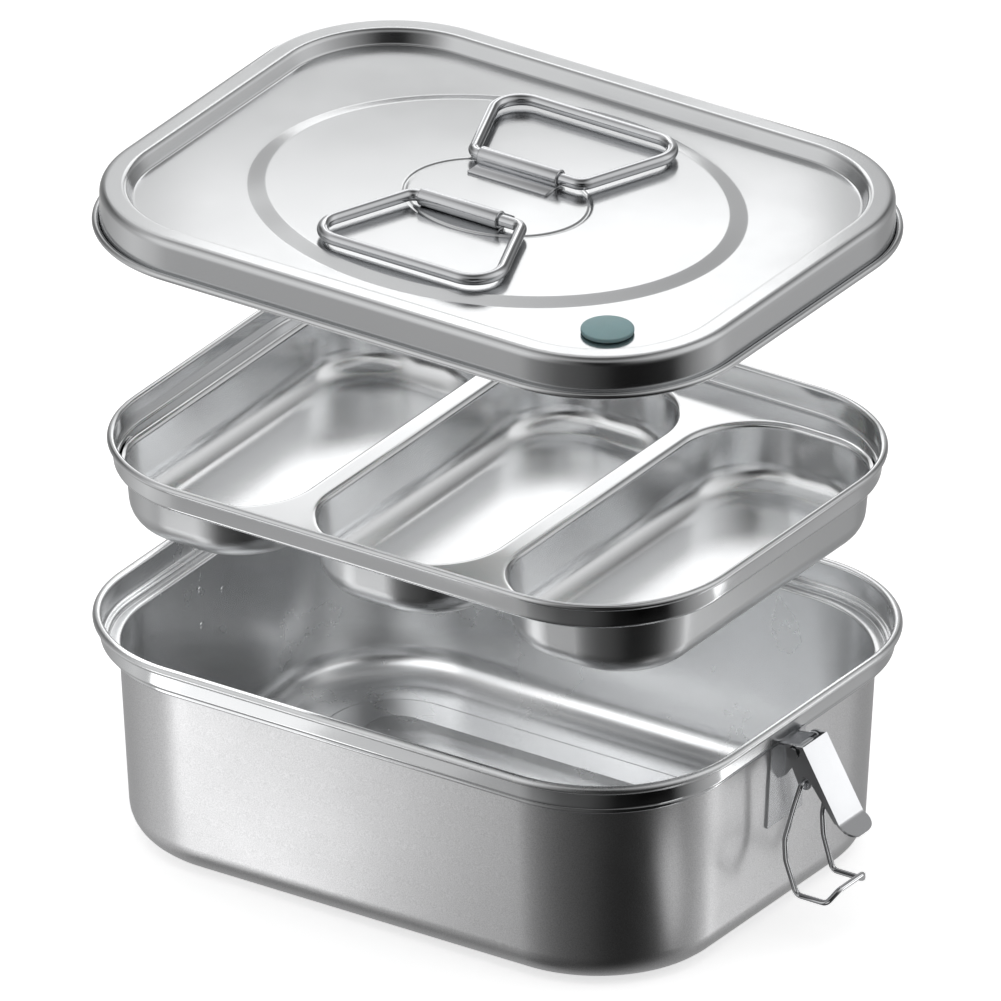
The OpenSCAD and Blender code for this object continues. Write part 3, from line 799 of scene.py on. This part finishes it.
# Area lights near the object and between its tiers, which the steel mirrors and the camera does not
# see: name, centre, the way it faces and size in millimetres, and radiance. The radiances come from
# the same fit, apart from both latch panels and the changes made to 14 others.
PANELS = [
    ("latch_wire", (150, -48, 4), (-0.492, 0.741, 0.457), (34, 34), 0.75),
    ("lever_face", (214, 111, 80), (-0.642, -0.741, -0.198), (50, 50), 0.85),
    ("rear_1_0", (-141, 303, 200), (0.5534, -0.8329, 0), (100, 50), 1.09),
    ("rear_1_1", (-141, 303, 250), (0.5534, -0.8329, 0), (100, 50), 1.09),
    ("rear_1_2", (-141, 303, 300), (0.5534, -0.8329, 0), (100, 50), 0.87),
    ("rear_1_3", (-141, 303, 350), (0.5534, -0.8329, 0), (100, 50), 0.11),
    ("rear_1_4", (-141, 303, 400), (0.5534, -0.8329, 0), (100, 50), 1.04),
    ("rear_1_5", (-141, 303, 450), (0.5534, -0.8329, 0), (100, 50), 1.29),
    ("rear_2_0", (-224, 247, 200), (0.5534, -0.8329, 0), (100, 50), 1.25),
    ("rear_2_1", (-224, 247, 250), (0.5534, -0.8329, 0), (100, 50), 1.29),
    ("rear_2_2", (-224, 247, 300), (0.5534, -0.8329, 0), (100, 50), 0.69),
    ("rear_2_3", (-224, 247, 350), (0.5534, -0.8329, 0), (100, 50), 0.09),
    ("rear_2_4", (-224, 247, 400), (0.5534, -0.8329, 0), (100, 50), 0.81),
    ("rear_2_5", (-224, 247, 450), (0.5534, -0.8329, 0), (100, 50), 1.59),
    ("rear_3_4", (-308, 192, 400), (0.5534, -0.8329, 0), (100, 50), 0.30),
    ("rear_3_6", (-308, 192, 500), (0.5534, -0.8329, 0), (100, 50), 0.39),
    ("front_0_0", (-163, -192, -110), (0.553, 0.833, 0), (45, 80), 0.88),
    ("front_0_1", (-163, -192, -30), (0.553, 0.833, 0), (45, 80), 1.63),
    ("front_1_0", (-126, -217, -110), (0.553, 0.833, 0), (45, 80), 1.95),
    ("front_1_1", (-126, -217, -30), (0.553, 0.833, 0), (45, 80), 0.94),
    ("front_2_1", (-88, -241, -30), (0.553, 0.833, 0), (45, 80), 0.30),
    ("right_0_0", (242, 139, -110), (-0.553, -0.833, 0), (35, 80), 2.10),
    ("right_0_1", (242, 139, -30), (-0.553, -0.833, 0), (35, 80), 1.78),
    ("box_0_0", (-70, -40, 100), (0, 0, -1), (85, 100), 1.70),
    ("box_0_1", (-70, 40, 100), (0, 0, -1), (65, 75), 0.17),
    ("box_1_1", (0, 40, 100), (0, 0, -1), (65, 75), 0.12),
    ("box_2_1", (70, 40, 100), (0, 0, -1), (65, 75), 1.28),
    ("tray_0_0", (-70, -40, 198), (0, 0, -1), (65, 75), 0.59),
    ("tray_1_0", (0, -40, 198), (0, 0, -1), (65, 75), 0.68),
    ("tray_1_1", (0, 40, 198), (0, 0, -1), (65, 75), 0.33),
    ("tray_2_0", (70, -40, 198), (0, 0, -1), (65, 75), 0.53),
    ("tray_2_1", (70, 40, 198), (0, 0, -1), (65, 75), 0.16),
]


class LUNCHBOX_OT_stage(bpy.types.Operator):
    """Pale floor, a world whose brightness depends on direction, area lights and the camera"""
    bl_idname = "lunchbox.stage"
    bl_label = "Stage"

    def execute(self, context):
        self.floor()
        self.world(context.scene)
        self.lights()
        self.camera(context.scene)
        context.scene.view_settings.view_transform = "Standard"
        return {"FINISHED"}

    @staticmethod
    def floor():
        mesh = bpy.data.meshes.new("floor")
        half = 4.0
        corners = [(-half, -half, 0), (half, -half, 0), (half, half, 0), (-half, half, 0)]
        mesh.from_pydata(corners, [], [(0, 1, 2, 3)])
        plane = bpy.data.objects.new("floor", mesh)
        bpy.context.scene.collection.objects.link(plane)
        material = bpy.data.materials.new("matt_white_paper")
        material.use_nodes = True
        shader = material.node_tree.nodes["Principled BSDF"]
        shader.inputs["Base Color"].default_value = hex_linear("#F4F4F4")
        shader.inputs["Roughness"].default_value = 0.9
        shader.inputs["Emission Color"].default_value = (1, 1, 1, 1)
        shader.inputs["Emission Strength"].default_value = 0.6
        mesh.materials.append(material)
        # the steel mirrors the studio below the horizon, and the paper does not shade it
        plane.visible_glossy = False
        plane.visible_shadow = False

    @staticmethod
    def world(scene):
        """World whose brightness depends on direction alone: one ramp round the horizon for each ring
        of elevation, and straight blends between neighbouring rings."""
        world = bpy.data.worlds.new("studio")
        scene.world = world
        world.use_nodes = True
        tree = world.node_tree
        back = tree.nodes["Background"]
        way = add_node(tree, "ShaderNodeTexCoord").outputs["Generated"]
        part = add_node(tree, "ShaderNodeSeparateXYZ", Vector=way).outputs
        turn = add_node(tree, "ShaderNodeMath", {"operation": "ARCTAN2"})
        tree.links.new(part["Y"], turn.inputs[0])
        tree.links.new(part["X"], turn.inputs[1])
        round_way = add_node(tree, "ShaderNodeMapRange", {"From Min": -math.pi, "From Max": math.pi},
                             Value=turn.outputs[0]).outputs[0]
        lift = add_node(tree, "ShaderNodeMath", {"operation": "ARCSINE"})
        tree.links.new(part["Z"], lift.inputs[0])
        blend = None
        for k, (elevation, values) in enumerate(STUDIO):
            ramp = add_node(tree, "ShaderNodeValToRGB")
            tree.links.new(round_way, ramp.inputs[0])
            stops = ramp.color_ramp.elements
            count = len(values)
            spread = np.arange(count + 1) / count if count > 1 else np.array([0.0, 1.0])
            for place in spread[1:-1]:
                stops.new(place)
            for stop, place, value in zip(stops, spread, [*values, values[0]]):
                stop.position = place
                stop.color = (value, value, value, 1)
            if blend is None:
                blend = ramp.outputs["Color"]
            else:
                mix = add_node(tree, "ShaderNodeMix", {"data_type": "RGBA"})
                share = add_node(tree, "ShaderNodeMapRange", {
                    "From Min": math.radians(STUDIO[k - 1][0]), "From Max": math.radians(elevation)},
                    Value=lift.outputs[0])
                tree.links.new(share.outputs[0], mix.inputs[0])
                tree.links.new(blend, mix.inputs[6])
                tree.links.new(ramp.outputs["Color"], mix.inputs[7])
                blend = mix.outputs[2]
        tree.links.new(blend, back.inputs["Color"])
        back.inputs["Strength"].default_value = STUDIO_STRENGTH

    @staticmethod
    def lights():
        """The panels, and one light high overhead for the paper alone, which steel does not mirror."""
        lamps = [(name, centre, way, size, radiance, True) for name, centre, way, size, radiance in PANELS]
        lamps.append(("over_paper", (0, 0, 2000), (0, 0, -1), (2000, 2000), 1.0, False))
        for name, centre, way, size, radiance, seen in lamps:
            light = bpy.data.lights.new(name, "AREA")
            light.shape = "RECTANGLE"
            light.size, light.size_y = size[0] / MM, size[1] / MM
            light.energy = math.pi * light.size * light.size_y * radiance
            lamp = bpy.data.objects.new(name, light)
            lamp.location = Vector(centre) / MM
            lamp.rotation_euler = Vector(way).to_track_quat("-Z", "Y").to_euler()
            lamp.visible_camera = False
            lamp.visible_glossy = seen
            bpy.context.scene.collection.objects.link(lamp)

    @staticmethod
    def camera(scene):
        """A long lens looking along azimuth 33.6 and down 27.2 degrees."""
        azimuth, elevation, distance = math.radians(33.6), math.radians(27.2), 2.0
        data = bpy.data.cameras.new("camera")
        data.type = "ORTHO"
        data.ortho_scale = 1.001 / 3.28
        data.clip_start, data.clip_end = 0.1, 20
        camera = bpy.data.objects.new("camera", data)
        back = Vector((math.sin(azimuth) * math.cos(elevation), -math.cos(azimuth) * math.cos(elevation),
                       math.sin(elevation)))
        right = Vector((math.cos(azimuth), math.sin(azimuth), 0))
        target = Vector((0, 0, 0.074)) + 0.0009 * right + 0.0346 * back.cross(right)
        camera.location = target + back * distance
        camera.rotation_euler = (-back).to_track_quat("-Z", "Y").to_euler()
        scene.collection.objects.link(camera)
        scene.camera = camera


PIECES = (LUNCHBOX_OT_box, LUNCHBOX_OT_weld_dimples, LUNCHBOX_OT_tray, LUNCHBOX_OT_lid,
          LUNCHBOX_OT_seal, LUNCHBOX_OT_plug, LUNCHBOX_OT_handles, LUNCHBOX_OT_bails,
          LUNCHBOX_OT_latch_metal, LUNCHBOX_OT_stage)


class LUNCHBOX_PT_panel(bpy.types.Panel):
    """Sizes and the operators that build each piece"""
    bl_idname = "LUNCHBOX_PT_panel"
    bl_label = "Lunch box"
    bl_space_type = "VIEW_3D"
    bl_region_type = "UI"
    bl_category = "Lunch box"

    def draw(self, context):
        for group in (context.scene.lunch_box_sheet, context.scene.lunch_box_wires):
            for name in group.bl_rna.properties.keys():
                if name not in ("rna_type", "name"):
                    self.layout.prop(group, name)
        for piece in PIECES:
            self.layout.operator(piece.bl_idname)


CLASSES = (LunchBoxSheet, LunchBoxWires, *PIECES, LUNCHBOX_PT_panel)


def register():
    for cls in CLASSES:
        bpy.utils.register_class(cls)
    bpy.types.Scene.lunch_box_sheet = bpy.props.PointerProperty(type=LunchBoxSheet)
    bpy.types.Scene.lunch_box_wires = bpy.props.PointerProperty(type=LunchBoxWires)


def unregister():
    del bpy.types.Scene.lunch_box_sheet
    del bpy.types.Scene.lunch_box_wires
    for cls in reversed(CLASSES):
        bpy.utils.unregister_class(cls)


def main():
    register()
    for piece in PIECES:
        group, name = piece.bl_idname.split(".")
        getattr(getattr(bpy.ops, group), name)()


if __name__ == "__main__":
    main()
